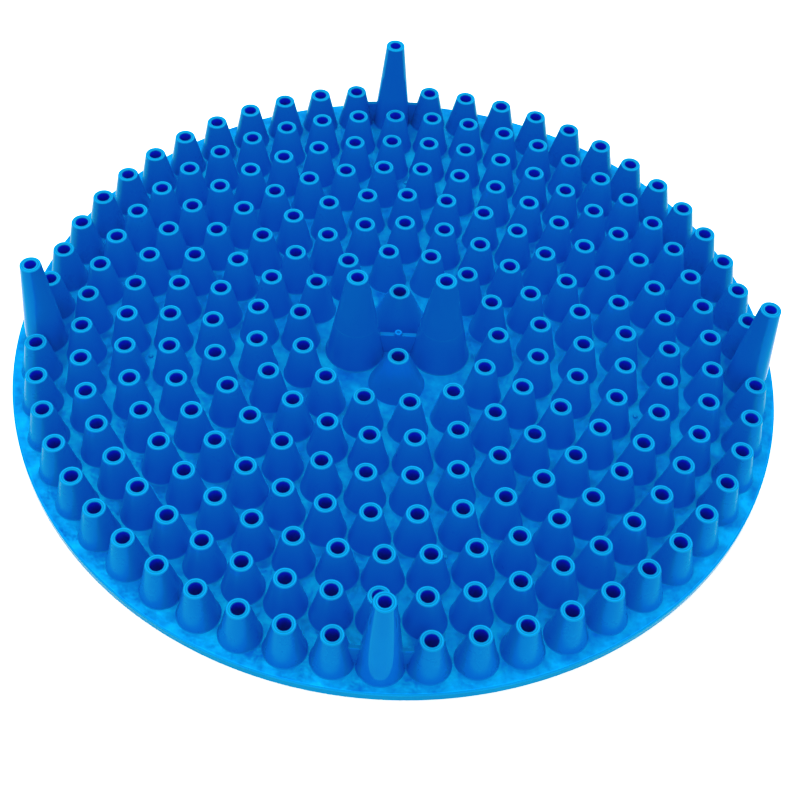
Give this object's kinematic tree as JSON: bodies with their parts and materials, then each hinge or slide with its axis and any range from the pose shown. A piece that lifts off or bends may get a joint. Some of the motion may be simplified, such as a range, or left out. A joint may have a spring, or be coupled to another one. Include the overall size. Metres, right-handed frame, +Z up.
{
  "type": "bucket dirt trap",
  "caption": "Round blue plastic grit guard that drops into a wash bucket: concentric rings of short hollow funnels on a flat deck, tall leg posts at the rim, tall grip cones at the centre.",
  "frame": {"origin": "centre of the rim's lower edge, on the disc's axis", "axes": "+Z up the funnels from the deck to their tips, +X through the centres of the two grip cones"},
  "size_m": [0.26, 0.26, 0.0396],
  "materials": {
    "blue_plastic": "glossy moulded polypropylene"
  },
  "bodies": {
    "root": {"deck_plate": "blue_plastic", "rim_skirt": "blue_plastic", "funnel_ring_1": "blue_plastic", "funnel_ring_2": "blue_plastic", "funnel_ring_3": "blue_plastic", "funnel_ring_4": "blue_plastic", "funnel_ring_5": "blue_plastic", "funnel_ring_6": "blue_plastic", "funnel_ring_7": "blue_plastic", "funnel_ring_8": "blue_plastic", "leg_post_right": "blue_plastic", "leg_post_back": "blue_plastic", "leg_post_left": "blue_plastic", "leg_post_front": "blue_plastic", "leg_webs_right": "blue_plastic", "leg_webs_back": "blue_plastic", "leg_webs_left": "blue_plastic", "leg_webs_front": "blue_plastic", "grip_cone_left": "blue_plastic", "grip_cone_right": "blue_plastic", "grip_web": "blue_plastic", "gate_stub": "blue_plastic", "ejector_pips": "blue_plastic"}
  },
  "joints": []
}
